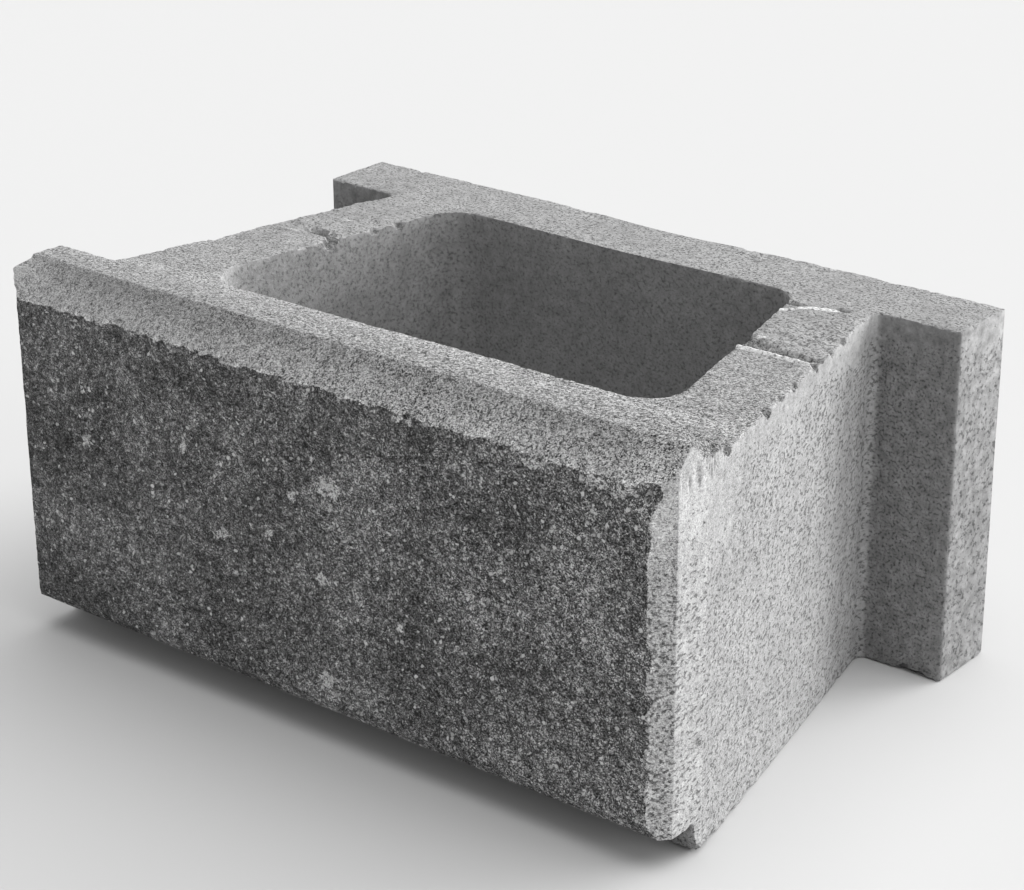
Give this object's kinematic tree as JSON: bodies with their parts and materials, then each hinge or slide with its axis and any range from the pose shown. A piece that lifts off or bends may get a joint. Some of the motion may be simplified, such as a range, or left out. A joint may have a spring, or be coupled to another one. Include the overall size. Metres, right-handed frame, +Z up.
{
  "type": "retaining wall block",
  "caption": "Hollow concrete retaining wall block with a split front face, a raised front lip, a bottom front notch, tapered webs and a winged rear flange.",
  "frame": {"origin": "middle of the block's bottom, at the centre of its length and of its depth", "axes": "+X along the wall, -Y towards the exposed split face, +Z up, as the block lies in a wall"},
  "size_m": [0.433, 0.301, 0.215],
  "materials": {
    "concrete": "dry-cast grey concrete, matt and finely pitted, with a darker coarse split face"
  },
  "bodies": {
    "root": {"retaining_wall_block": "concrete"}
  },
  "joints": []
}
